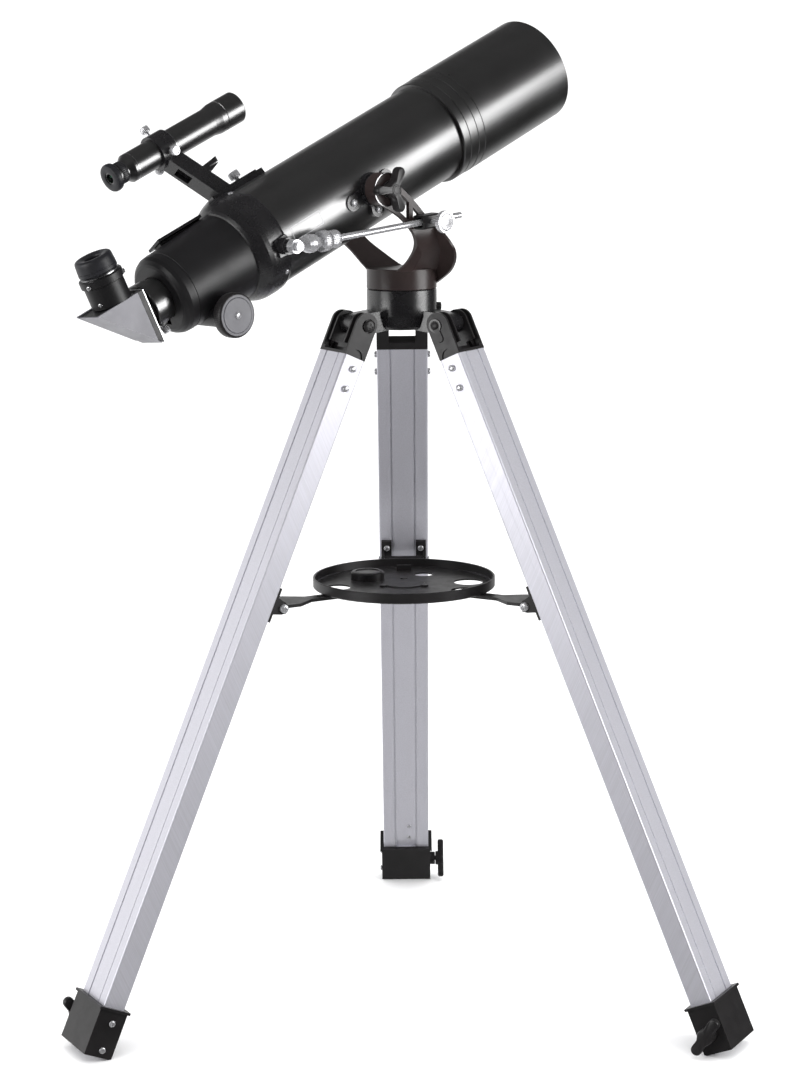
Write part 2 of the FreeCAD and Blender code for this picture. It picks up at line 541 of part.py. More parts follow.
rear = turned_x([(-124, TUBE_R), (-124.6, 54.0), (-128, 55.1), (-134, 55.6), (-146, 55.4), (-151, 54.4),
                 (-156, 52.2), (-160, 49.6), (-162.2, 47.4), (BODY_FRONT, 45.5), (BODY_FRONT, 42),
                 (-TUBE_HALF, 42), (-TUBE_HALF, TUBE_R)])
nodes["rear_ring"] = put(rear, TUBE)


TRUNNION_LOBES = ((183.0, 30.0), (10.0, 21.2), (-95.0, 21.2))


def trunnion(face):
    lobes = [cyl_y(17.2, *sorted([face * 44, face * 56.0]))]
    for angle, reach in TRUNNION_LOBES:
        web = block(0, reach, *sorted([face * 44, face * 54.0]), -8.0, 8.0)
        web = fused([web, cyl_y(8.4, *sorted([face * 44, face * 54.0]), reach, 0)])
        web.rotate(V(0, 0, 0), V(0, 1, 0), -angle)
        lobes.append(web)
    parts = lobes + [cyl_y(16.0, *sorted([face * 55, face * (ARM_IN - FREE_GAP)])),
                     cyl_y(STUD_R, *sorted([face * 59, face * 76.4])),
                     cyl_y(STUD_R - 0.8, *sorted([face * 76.3, face * 87.0]))]
    return drilled(fused(parts), [cyl_x(TUBE_R, -60, 60)])


nodes["altitude_trunnions"] = put(Part.makeCompound([trunnion(-1), trunnion(1)]), TUBE)
A_T = (ROD_A[0] - AXIS_W) * math.cos(lift) + (ROD_A[1] - AXIS_Z) * math.sin(lift)
A_N = (ROD_A[1] - AXIS_Z) * math.cos(lift) - (ROD_A[0] - AXIS_W) * math.sin(lift)
lug = fused([plate_y([(A_T - 9, A_N - 9), (A_T + 6, A_N - 10), (A_T + 10, A_N), (A_T + 6, A_N + 10),
                      (A_T - 9, A_N + 9)], -58, -48), cyl_y(8.5, -65.5, -57, A_T, A_N)])
rear_solid = turned_x([(-123.8, 0), (-123.8, 52.7), (-124.4, 54.15), (-128, 55.22), (-134, 55.72), (-146, 55.52), (-151, 54.52),
                       (-151, 0)])
lug = drilled(lug, [cyl_x(TUBE_R, -200, 200), rear_solid, cyl_y(2.5, -70, -57, A_T, A_N)])
nodes["rod_lug"] = put(lug, TUBE)

# ---- focuser -----------------------------------------------------------------------------
housing = turned_x([
    (BODY_FRONT, 38), (BODY_FRONT, 45.5), (-238, 41.6), (-238.4, 41.0), (-240.0, 41.0), (-240.4, 41.8),
    (-247, 41.2), (-251, 39.4), (-254, 36.2), (BODY_REAR, 33.5), (BODY_REAR, 23.1), (-243, 23.1),
    (-240, 37.0), (-180, 38)])
pinion_house = cyl_y(13.5, -43.5, 43.5, PINION_X, PINION_Z)
rail = rolled(fused([block(-224, -166, -13, 13, 45.4, 48.2), block(-221, -166, -6.5, 6.5, 39, 45.6)]),
              FINDER_ROLL)
inner_void = turned_x([(-240, 0), (-240, 37.0), (-180, 38), (BODY_FRONT, 38), (BODY_FRONT, 0)])
focuser_cuts = [inner_void, cyl_x(23.1, -260, -230), cyl_y(3.05, -60, 60, PINION_X, PINION_Z),
                cyl_y(PINION_R + 0.4, -9, 9, PINION_X, PINION_Z),
                block(-260, -235, -5.4, 5.4, -28.0, -20.0)]
nodes["focuser_body"] = put(drilled(fused([housing, pinion_house, rail]), focuser_cuts), TUBE)
draw = turned_x([(-125, 20.4), (-125, DRAW_R), (-264, DRAW_R), (-264.5, 24.2), (DRAW_REAR + 0.8, 24.6),
                 (DRAW_REAR, 23.8), (DRAW_REAR, BARREL_R + 0.07), (-252, BARREL_R + 0.07), (-252, 20.4)])
rack = block(-250, -135, -5.0, 5.0, -27.5, -21.5)
nodes["focuser_drawtube"] = put(fused([draw, drilled(rack, [cyl_x(20.6, -300, -100)])]), TUBE)
shaft = fused([cyl_y(3.0, -58.0, 58.0, PINION_X, PINION_Z), cyl_y(PINION_R, -8, 8, PINION_X, PINION_Z)])
nodes["focus_shaft"] = put(shaft, TUBE)


def focus_knob(face):
    side_points = [(47.5, 0), (47.5, 18.0), (48.5, 21.2), (50, KNOB_R), (57.5, KNOB_R), (59.0, 21.2),
                   (59.6, 20.0), (59.6, 17.8), (59.2, 17.5), (60.0, 17.0), (60.0, 0)]
    wheel = turned_x(side_points)
    wheel.rotate(V(0, 0, 0), V(0, 0, 1), 90 * face)
    wheel.translate(V(PINION_X, 0, PINION_Z))
    return wheel.cut(cyl_y(3.0, -58.0, 58.0, PINION_X, PINION_Z))


nodes["focus_knobs"] = put(Part.makeCompound([focus_knob(-1), focus_knob(1)]), TUBE)

# ---- star diagonal and eyepiece ----------------------------------------------------------
PRISM = [(-281, 21.0), (-336, 21.0), (-281, -34.0)]
CORE_HALF = 17.2
COVER_HALF = 19.6
core = plate_y(PRISM, -CORE_HALF, CORE_HALF)
front_frame = plate_y([(-281, 22.0), (-286.7, 22.0), (-286.7, -28.3), (-281, -34.0)], -COVER_HALF, COVER_HALF)
nose = cyl_x(BARREL_R, -281, -256)
flange = cyl_x(20.0, -282, DRAW_REAR - FREE_GAP)
holder = turned_z([(0, 20), (17.0, 20), (17.0, 22.3), (20.2, 22.3), (20.2, 43.5), (22.2, 44.5), (22.2, 51.2),
                   (21.4, 52), (0, 52)])
holder.translate(V(DIAGONAL_X, 0, 0))
SET_SCREWS = (78.0, 198.0, 318.0)
SET_SCREW_Z = 47.0


def on_holder(shape, turn):
    shape.rotate(V(0, 0, 0), V(0, 0, 1), turn)
    shape.translate(V(DIAGONAL_X, 0, 0))
    return shape


diagonal_cuts = [plate_y([(-283, 22.0), (-334, 22.0), (-283, -29.0)], -12.5, 12.5),
                 cyl_x(BARREL_R - 1.4, -290, -250), cyl_z(BARREL_R + 0.07, 10, 60, DIAGONAL_X, 0)]
diagonal_cuts += [on_holder(cyl_x(1.6, 14, 30, 0, SET_SCREW_Z), turn) for turn in SET_SCREWS]
top_skin = plate_y([(-281, 21.0), (-336, 21.0), (-334, 19.0), (-281, 19.0)], -14.5, 14.5)
top_skin = top_skin.cut(cyl_z(BARREL_R + 0.07, 10, 60, DIAGONAL_X, 0))
diagonal = fused([drilled(fused([core, front_frame, nose, flange, holder]), diagonal_cuts), top_skin])
nodes["diagonal_housing"] = put(rolled(diagonal, DIAGONAL_ROLL), TUBE)
cover_side = [(-287.0, 22.0), (-337.5, 22.0), (-337.5, 20.8), (-287.0, -29.7)]
covers = fused([plate_y(cover_side, -COVER_HALF, -CORE_HALF), plate_y(cover_side, CORE_HALF, COVER_HALF),
                plate_y([(-336, 21.0), (-337.5, 20.8), (-282.3, -34.4), (-282.3, -32.7)], -CORE_HALF, CORE_HALF)])
nodes["diagonal_cover"] = put(rolled(covers, DIAGONAL_ROLL), TUBE)
set_screws = []
for turn in SET_SCREWS:
    screw = fused([cyl_x(1.55, 16.2, 22.6, 0, SET_SCREW_Z), cyl_x(2.2, 22.3, 23.6, 0, SET_SCREW_Z)])
    set_screws.append(on_holder(screw, turn))
nodes["diagonal_set_screws"] = put(rolled(Part.makeCompound(set_screws), DIAGONAL_ROLL), TUBE)
ocular = turned_z([(0, 28), (13.6, 28), (13.6, 28.1), (BARREL_R, 28.1), (BARREL_R, 52.3), (19.0, 52.3),
                   (19.0, 54.6), (14.0, 54.6), (14.0, 66.0), (0, 66.0)])
ocular = drilled(ocular, [cyl_z(13.4, 27, 50), cyl_z(6.0, 49, 90)])
ocular.translate(V(DIAGONAL_X, 0, 0))
nodes["eyepiece"] = put(rolled(ocular, DIAGONAL_ROLL), TUBE)
cup = turned_z([(14.0, 54.8), (18.9, 54.8), (19.9, 55.8), (19.0, 68.2), (17.7, 70.3), (15.2, 71.0), (9.0, 69.6),
                (8.0, 68.0), (8.0, 66.0), (14.0, 66.0)])
cup.translate(V(DIAGONAL_X, 0, 0))
nodes["eyecup"] = put(rolled(cup, DIAGONAL_ROLL), TUBE)

# ---- finder ------------------------------------------------------------------------------
scope = turned_x([(-190, 13.2), (-190, FINDER_R), (-84, FINDER_R), (-80, 15.4), (-75, 16.4), (-69.6, 16.5),
                  (-69.2, 15.9), (-68.2, 15.9), (-67.8, 16.5), (-45.4, 16.5), (-44.6, 15.9), (-44.6, 15.2),
                  (-70, 15.2), (-76, 13.2)], FINDER_AXIS)
nodes["finder_tube"] = put(rolled(scope, FINDER_ROLL), TUBE)
sight = turned_x([(-218, 5.0), (-218.4, 12.6), (-217.6, 14.0), (-212, 14.0), (-210.5, 12.4), (-209.5, 10.6),
                  (-200, 10.6), (-197.5, 12.2), (-194, FINDER_R), (-190, FINDER_R), (-190, 13.2),
                  (-180, 13.2), (-180, 11.5), (-196, 9.0), (-212, 5.0)], FINDER_AXIS)
nodes["finder_eyepiece"] = put(rolled(sight, FINDER_ROLL), TUBE)
finder_glass = fused([cyl_x(15.2, -60, -56, 0, FINDER_AXIS), cyl_x(5.0, -213.6, -212.2, 0, FINDER_AXIS)])
nodes["finder_lenses"] = put(rolled(finder_glass, FINDER_ROLL), TUBE)
ring = cyl_x(18.0, -160, -141, 0, FINDER_AXIS)
stalk = plate_y([(-156.5, 114), (-138.5, 114), (-112.5, 56), (-131, 56)], -10.5, 10.5)
stalk_slot = plate_y([(-160, 99.5), (-144.5, 99.5), (-138.0, 85.0), (-150, 83)], -6.5, 6.5)
lug_block = plate_y([(-133, 88.5), (-106.5, 91.5), (-107.5, 84.5), (-120, 80.5)], -9.0, 9.0)
lug_slit = block(-119.0, -100, -10, 10, 84.9, 86.1)
shoe = block(-142, -72, -13, 13, 44, 57.0)
foot_pad = block(-118, -76, -8.0, 8.0, 56, 59.5)
bracket = drilled(fused([ring, stalk, lug_block, shoe, foot_pad]), [
    stalk_slot, lug_slit, cyl_x(FINDER_R, -170, -130, 0, FINDER_AXIS)])
bracket = rolled(bracket, FINDER_ROLL).cut(cyl_x(TUBE_R, -200, 0)).cut(rear_solid)
nodes["finder_bracket"] = put(bracket, TUBE)

# ---- screws on the tube ------------------------------------------------------------------
tube_screws = []
for face in (-1, 1):
    for angle, reach in TRUNNION_LOBES:
        screw = cyl_y(3.6, *sorted([face * 54.0, face * 55.6]), reach, 0)
        screw.rotate(V(0, 0, 0), V(0, 1, 0), -angle)
        tube_screws.append(screw)
tube_screws.append(fused([cyl_y(2.5, -79.5, -58.0, A_T, A_N), cyl_y(4.6, -82.5, -78.0, A_T, A_N)]))
for turn in (0.0, 120.0, -120.0):
    screw = fused([cyl_z(1.6, 18.0, 22.0, -150.5), cyl_z(4.3, 21.8, 28.0, -150.5)])
    screw.rotate(V(0, 0, 0), V(1, 0, 0), turn)
    screw.translate(V(0, 0, FINDER_AXIS))
    tube_screws.append(rolled(screw, FINDER_ROLL))
tube_screws.append(rolled(fused([cyl_z(2.4, 59.5, 63.0, -96), cyl_z(5.6, 62.9, 70.0, -96)]), FINDER_ROLL))
nodes["tube_screws"] = put(Part.makeCompound(tube_screws), TUBE)

# ---- origin at the middle of the footprint, on the ground --------------------------------
whole = Part.makeCompound(list(nodes.values())).optimalBoundingBox(False, False)
shift = V(-(whole.XMin + whole.XMax) / 2, -(whole.YMin + whole.YMax) / 2, -whole.ZMin)
os.makedirs("parts", exist_ok=True)
for name, shape in nodes.items():
    shape.translate(shift)
    shape.exportStep("parts/" + name + ".step")
print("shift", shift.x, shift.y, shift.z)
print("size", whole.XLength, whole.YLength, whole.ZLength)
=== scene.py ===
import json
import math

import bmesh
import bpy
from mathutils import Matrix, Vector


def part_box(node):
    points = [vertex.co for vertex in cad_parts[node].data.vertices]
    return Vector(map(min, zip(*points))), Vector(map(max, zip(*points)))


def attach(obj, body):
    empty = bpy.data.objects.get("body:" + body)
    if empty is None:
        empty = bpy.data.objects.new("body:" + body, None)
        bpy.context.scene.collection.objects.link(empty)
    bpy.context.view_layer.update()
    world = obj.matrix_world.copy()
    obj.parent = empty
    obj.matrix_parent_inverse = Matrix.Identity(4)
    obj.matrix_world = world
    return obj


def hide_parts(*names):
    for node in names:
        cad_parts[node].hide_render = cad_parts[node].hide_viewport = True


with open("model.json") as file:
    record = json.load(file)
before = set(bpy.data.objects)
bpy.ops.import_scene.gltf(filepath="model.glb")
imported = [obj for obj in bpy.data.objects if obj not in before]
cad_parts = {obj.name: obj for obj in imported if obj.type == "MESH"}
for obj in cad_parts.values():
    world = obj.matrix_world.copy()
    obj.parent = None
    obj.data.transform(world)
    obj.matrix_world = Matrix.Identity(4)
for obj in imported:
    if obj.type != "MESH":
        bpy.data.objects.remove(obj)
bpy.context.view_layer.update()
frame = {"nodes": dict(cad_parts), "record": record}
NODES = frame["nodes"]
MM = 0.001

# ---- working frames, the same as the CAD's: millimetres, with angles named by their use ---------
spindle_low, spindle_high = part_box("azimuth_spindle")
HUB = Vector(((spindle_low.x + spindle_high.x) / 2, (spindle_low.y + spindle_high.y) / 2, -0.001))
POINTING = math.radians(42.53)
ELEVATION = math.radians(22.96)
UP = Vector((0, 0, 1))
FORWARD = Vector((math.cos(POINTING), math.sin(POINTING), 0))
TUBE_AXIS = FORWARD * math.cos(ELEVATION) + UP * math.sin(ELEVATION)
TUBE_UP = UP * math.cos(ELEVATION) - FORWARD * math.sin(ELEVATION)
AXIS_W = -87.56  # altitude axis, along FORWARD
AXIS_Z = 890.08  # altitude axis, height
LEG_AZIMUTHS = {"left": 210.0, "right": 330.0, "back": 90.0}
LEG_ANGLE = math.radians(24.03)
PIVOT_RADIUS = 56.3
PIVOT_Z = 745.5
PINION = (-215.0, -34.5)  # focus shaft, along and across the tube
ROD_H = 73.5  # rod, distance from the tube's middle plane
ROD_A = (-210.0, 839.0)  # rod's pivot on the tube, forward and up
CLAMP_B = (-30.0, 855.8)  # rod clamp's axis, forward and up
FINDER_ROLL = math.radians(30.4)
FINDER_AXIS = 126.6
DIAGONAL_ROLL = math.radians(5.0)
DIAGONAL_X = -306.0
DRAWTUBE_SCREW_X = -270.5
REAR_RING_X = -132.5
TUBE_R = 52.5


def placed(origin_mm, x_axis, z_axis):
    """Matrix from local millimetres to the row frame; local X and Z run along the given axes."""
    y_axis = z_axis.cross(x_axis)
    turn = Matrix((x_axis, y_axis, z_axis)).transposed().to_4x4()
    return Matrix.Translation(HUB + Vector(origin_mm) * MM) @ turn @ Matrix.Diagonal((MM, MM, MM, 1))


def radial(azimuth):
    return Vector((math.cos(math.radians(azimuth)), math.sin(math.radians(azimuth)), 0))


def leg_place(azimuth):
    outward = radial(azimuth)
    down = outward * math.sin(LEG_ANGLE) - UP * math.cos(LEG_ANGLE)
    face = outward * math.cos(LEG_ANGLE) + UP * math.sin(LEG_ANGLE)
    return placed(outward * PIVOT_RADIUS + UP * PIVOT_Z, face, down)


FORK = placed((0, 0, 0), FORWARD, UP)
TUBE = placed(FORWARD * AXIS_W + UP * AXIS_Z, TUBE_AXIS, TUBE_UP)
rod_run = math.atan2(CLAMP_B[1] - ROD_A[1], CLAMP_B[0] - ROD_A[0])
ROD_DIR = FORWARD * math.cos(rod_run) + UP * math.sin(rod_run)
ROD_UP = UP * math.cos(rod_run) - FORWARD * math.sin(rod_run)
ROD = placed(FORWARD * ROD_A[0] + UP * ROD_A[1], ROD_DIR, ROD_UP)
CLAMP = placed(FORWARD * CLAMP_B[0] + UP * CLAMP_B[1], ROD_DIR, ROD_UP)
FINDER = TUBE @ Matrix.Rotation(-FINDER_ROLL, 4, "X")
DIAGONAL = TUBE @ Matrix.Rotation(-DIAGONAL_ROLL, 4, "X")


# ---- materials ----------------------------------------------------------------------------
class Finish:
    """One procedural material: colour variation, roughness variation, grain bump and lighter edges, which are
    rubbed wear on most parts and a painted highlight on the anodised legs.
    """

    def __init__(self, name, color, rough, metallic=0.0, turn=None):
        self.mat = bpy.data.materials.new(name)
        self.mat.use_nodes = True
        self.nodes = self.mat.node_tree.nodes
        self.links = self.mat.node_tree.links
        self.nodes.clear()
        self.out = self.nodes.new("ShaderNodeOutputMaterial")
        self.shader = self.nodes.new("ShaderNodeBsdfPrincipled")
        self.links.new(self.shader.outputs[0], self.out.inputs[0])
        self.color = color
        self.rough = rough
        self.put("Metallic", metallic)
        coord = self.nodes.new("ShaderNodeTexCoord")
        self.coord = coord.outputs["Object"]
        if turn is not None:
            mapping = self.nodes.new("ShaderNodeMapping")
            mapping.vector_type = "POINT"
            mapping.inputs["Rotation"].default_value = turn
            self.links.new(self.coord, mapping.inputs["Vector"])
            self.coord = mapping.outputs[0]
        self.color_out = None
        self.height = None

    def put(self, socket, value):
        self.shader.inputs[socket].default_value = value

    def noise(self, scale, detail=2.0, stretch=None, roughness=0.5):
        source = self.coord
        if stretch is not None:
            mapping = self.nodes.new("ShaderNodeMapping")
            mapping.inputs["Scale"].default_value = stretch
            self.links.new(source, mapping.inputs["Vector"])
            source = mapping.outputs[0]
        tex = self.nodes.new("ShaderNodeTexNoise")
        tex.inputs["Scale"].default_value = scale
        tex.inputs["Detail"].default_value = detail
        tex.inputs["Roughness"].default_value = roughness
        self.links.new(source, tex.inputs["Vector"])
        return tex.outputs["Fac"]

    def spread(self, value, low, high, out_low, out_high):
        node = self.nodes.new("ShaderNodeMapRange")
        node.inputs["From Min"].default_value = low
        node.inputs["From Max"].default_value = high
        node.inputs["To Min"].default_value = out_low
        node.inputs["To Max"].default_value = out_high
        self.links.new(value, node.inputs["Value"])
        return node.outputs[0]

    def mix(self, factor, a, b):
        node = self.nodes.new("ShaderNodeMix")
        node.data_type = "RGBA"
        self.links.new(factor, node.inputs[0])
        for socket, value in ((node.inputs[6], a), (node.inputs[7], b)):
            if hasattr(value, "links"):
                self.links.new(value, socket)
            else:
                socket.default_value = (*value, 1)
        return node.outputs[2]

    def vary(self, scale, amount, tint=(1, 1, 1), stretch=None):
        """Slow colour drift between a darker and a lighter version of the colour."""
        dark = tuple(c * (1 - amount) for c in self.color)
        light = tuple(min(1, c * (1 + amount) * t) for c, t in zip(self.color, tint))
        factor = self.spread(self.noise(scale, 4.0, stretch), 0.3, 0.7, 0, 1)
        self.color_out = self.mix(factor, dark, light)
        return self

    def uneven(self, scale, amount, stretch=None):
        value = self.spread(self.noise(scale, 5.0, stretch, 0.6), 0.25, 0.75,
                            max(0.02, self.rough - amount), min(1, self.rough + amount))
        self.links.new(value, self.shader.inputs["Roughness"])
        return self

    def wear_and_highlight_edges(self, color, width=0.0008, strength=0.8):
        """Edges made lighter, found from how a rounded normal leaves the true one: rubbed wear on the
        castings, paint and plastics, and a painted highlight on the anodised legs.
        """
        bevel = self.nodes.new("ShaderNodeBevel")
        bevel.samples = 4
        bevel.inputs["Radius"].default_value = width
        normal = self.nodes.new("ShaderNodeNewGeometry")
        dot = self.nodes.new("ShaderNodeVectorMath")
        dot.operation = "DOT_PRODUCT"
        self.links.new(bevel.outputs[0], dot.inputs[0])
        self.links.new(normal.outputs["Normal"], dot.inputs[1])
        edge = self.spread(dot.outputs["Value"], 0.98, 0.82, 0, strength)
        patchy = self.spread(self.noise(240.0, 3.0), 0.42, 0.62, 0, 1)
        both = self.nodes.new("ShaderNodeMath")
        both.operation = "MULTIPLY"
        both.use_clamp = True
        self.links.new(edge, both.inputs[0])
        self.links.new(patchy, both.inputs[1])
        self.color_out = self.mix(both.outputs[0], self.color_out or self.color, color)
        return self

    def grain(self, scale, depth, stretch=None, detail=2.0):
        """Adds a layer of relief of the given depth in metres."""
        bump = self.nodes.new("ShaderNodeBump")
        bump.inputs["Strength"].default_value = 1.0
        bump.inputs["Distance"].default_value = depth
        self.links.new(self.noise(scale, detail, stretch), bump.inputs["Height"])
        if self.height is not None:
            self.links.new(self.height, bump.inputs["Normal"])
        self.height = bump.outputs[0]
        return self

    def done(self):
        if self.color_out is not None:
            self.links.new(self.color_out, self.shader.inputs["Base Color"])
        else:
            self.shader.inputs["Base Color"].default_value = (*self.color, 1)
        if self.height is not None:
            self.links.new(self.height, self.shader.inputs["Normal"])
        if not self.shader.inputs["Roughness"].is_linked:
            self.shader.inputs["Roughness"].default_value = self.rough
        self.mat.diffuse_color = (*self.color, 1)
        return self.mat


def black_paint():
    f = Finish("gloss_black_paint", (0.0035, 0.003, 0.0035), 0.3)
    f.vary(7, 0.25).uneven(26, 0.03).grain(900, 0.00001).grain(140, 0.000008)
    f.put("Specular IOR Level", 1.0)
    f.put("IOR", 1.95)
    return f.done()


def cast_black():
    f = Finish("satin_black_cast", (0.008, 0.0075, 0.0085), 0.27)
    f.vary(20, 0.25).uneven(60, 0.05).wear_and_highlight_edges((0.1, 0.1, 0.11), 0.0007, 0.5)
    f.put("Specular IOR Level", 1.0)
    return f.grain(1300, 0.00005, detail=3).done()


def fork_paint():
    f = Finish("fork_paint", (0.024, 0.017, 0.0165), 0.33)
    f.vary(16, 0.2, (1.05, 1.0, 0.98)).uneven(45, 0.06).wear_and_highlight_edges((0.14, 0.12, 0.12), 0.0008, 0.5)
    return f.grain(700, 0.00005, detail=3).done()


def grained_plastic():
    f = Finish("grained_black_plastic", (0.007, 0.0065, 0.0075), 0.4)
    f.vary(18, 0.2).uneven(50, 0.05).grain(1500, 0.00006, detail=3)
    return f.done()


def moulded_plastic():
    f = Finish("black_plastic", (0.011, 0.01, 0.0105), 0.36)
    f.vary(24, 0.25).uneven(70, 0.07).wear_and_highlight_edges((0.09, 0.085, 0.085), 0.0007, 0.45)
    return f.grain(1100, 0.00003, detail=3).done()


def anodised(name, azimuth):
    """Silver anodised aluminium with fine drawing lines along the leg; its edges are painted near white as a
    painted highlight.
    """
    tilt = Matrix.Rotation(-LEG_ANGLE, 3, "Y") @ Matrix.Rotation(-math.radians(azimuth), 3, "Z")
    f = Finish(name, (0.66, 0.655, 0.71), 0.38, 0.65, tilt.to_euler("XYZ"))
    along = (1, 1, 0.012)
    f.vary(900, 0.05, (1, 1, 1.01), along).uneven(500, 0.06, along)
    # near-white edges: a painted highlight standing in for the glints along the leg's edges and grooves
    f.wear_and_highlight_edges((0.93, 0.93, 0.95), 0.0006, 0.85).grain(2200, 0.00001, along, 3)
    return f.done()


def chrome():
    f = Finish("chrome_hardware", (0.66, 0.66, 0.68), 0.28, 0.78)
    return f.vary(120, 0.05).uneven(300, 0.04).grain(500, 0.000006).done()


def steel():
    f = Finish("steel_hardware", (0.6, 0.6, 0.61), 0.28, 1.0)
    return f.vary(150, 0.12).uneven(400, 0.08).grain(1500, 0.00001).done()


def knob_grey():
    f = Finish("knob_grey", (0.075, 0.074, 0.085), 0.34)
    return f.vary(40, 0.12).uneven(90, 0.05).grain(1400, 0.00002).done()


def grey_panel():
    f = Finish("grey_panel", (0.13, 0.128, 0.145), 0.36)
    f.vary(30, 0.12).uneven(70, 0.05).wear_and_highlight_edges((0.3, 0.29, 0.3), 0.0005, 0.6)
    return f.grain(900, 0.00002).done()


def glass():
    f = Finish("coated_glass", (0.93, 0.97, 0.95), 0.02)
    f.vary(10, 0.03).uneven(40, 0.008)
    f.put("Transmission Weight", 1.0)
    f.put("IOR", 1.52)
    f.put("Coat Weight", 0.6)
    f.put("Coat Tint", (0.5, 0.8, 0.65, 1))
    return f.done()


def eyepiece_black():
    f = Finish("eyepiece_black", (0.014, 0.014, 0.016), 0.3)
    return f.vary(40, 0.2).uneven(120, 0.05).grain(1200, 0.00001).done()


def rubber():
    f = Finish("eyecup_rubber", (0.011, 0.011, 0.014), 0.42)
    f.vary(60, 0.25).uneven(160, 0.08).grain(1800, 0.00004, detail=3)
    return f.done()


def white_print():
    f = Finish("white_print", (0.6, 0.6, 0.62), 0.5)
    return f.vary(400, 0.1).uneven(200, 0.05).grain(900, 0.00001).done()


FINISHES = {
    "gloss_black_paint": black_paint(), "satin_black_cast": cast_black(), "fork_paint": fork_paint(),
    "grained_black_plastic": grained_plastic(), "black_plastic": moulded_plastic(),
    "chrome_hardware": chrome(), "steel_hardware": steel(), "knob_grey": knob_grey(),
    "grey_panel": grey_panel(), "coated_glass": glass(),
    "eyepiece_black": eyepiece_black(), "eyecup_rubber": rubber(), "white_print": white_print()}
LEG_FINISHES = {name: anodised("anodised_aluminium_" + name, az) for name, az in LEG_AZIMUTHS.items()}


def finish_for(part):
    if part["material_slot"] == "anodised_aluminium":
        return LEG_FINISHES[part["node"].rsplit("_", 1)[1]]
    return FINISHES[part["material_slot"]]


for part in frame["record"]["subparts"]:
    node = NODES[part["node"]]
    node.data.materials.clear()
    node.data.materials.append(finish_for(part))

# ---- mesh building ------------------------------------------------------------------------
def piece(name, verts, faces, place, finish, body, slot, smooth=40):
    """A new mesh in local millimetres, put in place and riding on a CAD body."""
    mesh = bpy.data.meshes.new(name)
    mesh.from_pydata([place @ Vector(v) for v in verts], [], faces)
    mesh.validate()
    work = bmesh.new()
    work.from_mesh(mesh)
    bmesh.ops.remove_doubles(work, verts=work.verts, dist=0.000001)
    bmesh.ops.recalc_face_normals(work, faces=work.faces)
    work.to_mesh(mesh)
    work.free()
    mesh.materials.append(finish)
    mesh.shade_smooth()
    mesh.set_sharp_from_angle(angle=math.radians(smooth))
    obj = bpy.data.objects.new(name, mesh)
    bpy.context.scene.collection.objects.link(obj)
    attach(obj, body)
    return obj


def merged(parts):
    verts, faces = [], []
    for part_verts, part_faces in parts:
        start = len(verts)
        verts.extend(part_verts)
        faces.extend([tuple(i + start for i in face) for face in part_faces])
    return verts, faces


def moved(part, matrix):
    return [tuple(matrix @ Vector(v)) for v in part[0]], part[1]


def lathe(profile, steps=64, closed=False, ribs=0):
    """Turned about local X from (along, radius[, rib depth]) points; ribs knurl the marked points."""
    verts, faces = [], []
    for point in profile:
        depth = point[2] if len(point) > 2 else 0.0
        for i in range(steps):
            angle = 2 * math.pi * i / steps
            wave = 0.5 + 0.5 * math.cos(ribs * angle) if ribs else 0.0
            r = point[1] - depth * wave
            verts.append((point[0], r * math.cos(angle), r * math.sin(angle)))
    rows = len(profile)
    for row in range(rows if closed else rows - 1):
        a, b = row * steps, ((row + 1) % rows) * steps
        for i in range(steps):
            j = (i + 1) % steps
            faces.append((a + i, a + j, b + j, b + i))
    if not closed:
        faces.append(tuple(range(steps)))
        faces.append(tuple((rows - 1) * steps + i for i in range(steps)))
    return verts, faces


def turned_to(axis, origin=(0, 0, 0)):
    """Matrix that carries local X onto an axis."""
    return Matrix.Translation(origin) @ Vector(axis).to_track_quat("X", "Z").to_matrix().to_4x4()


def knurled_band(start, end, radius, depth, ribs, inner):
    chamfer = 0.5
    profile = [(start, inner), (start, radius - chamfer), (start + chamfer, radius, depth),
               (end - chamfer, radius, depth), (end, radius - chamfer), (end, inner)]
    return lathe(profile, ribs * 4, True, ribs)


def thumb_screw(length=7.0, radius=4.6):
    """Knurled thumb screw head along local X, seated at x = 0."""
    return lathe([(0, 1.7), (0, radius - 0.7), (0.6, radius - 0.1, 0.3), (length - 0.9, radius - 0.1, 0.3),
                  (length - 0.3, radius - 0.6), (length, radius - 1.4), (length + 0.25, 0.02)], 96, False, 24)


def screw_head(radius, height):
    """Domed head along local X, before its recess is cut."""
    rings = 7
    profile = [(-0.3, radius)]
    for i in range(rings + 1):
        a = math.pi / 2 * i / rings
        profile.append((0.25 * height + 0.75 * height * math.sin(a), max(radius * math.cos(a), 0.02)))
    return lathe(profile, 32)


def plain_object(name, part):
    mesh = bpy.data.meshes.new(name)
    mesh.from_pydata(part[0], [], part[1])
    work = bmesh.new()
    work.from_mesh(mesh)
    bmesh.ops.remove_doubles(work, verts=work.verts, dist=0.0001)
    bmesh.ops.recalc_face_normals(work, faces=work.faces)
    work.to_mesh(mesh)
    work.free()
    obj = bpy.data.objects.new(name, mesh)
    bpy.context.scene.collection.objects.link(obj)
    return obj


BOX_FACES = [(0, 1, 2, 3), (7, 6, 5, 4), (0, 4, 5, 1), (1, 5, 6, 2), (2, 6, 7, 3), (3, 7, 4, 0)]


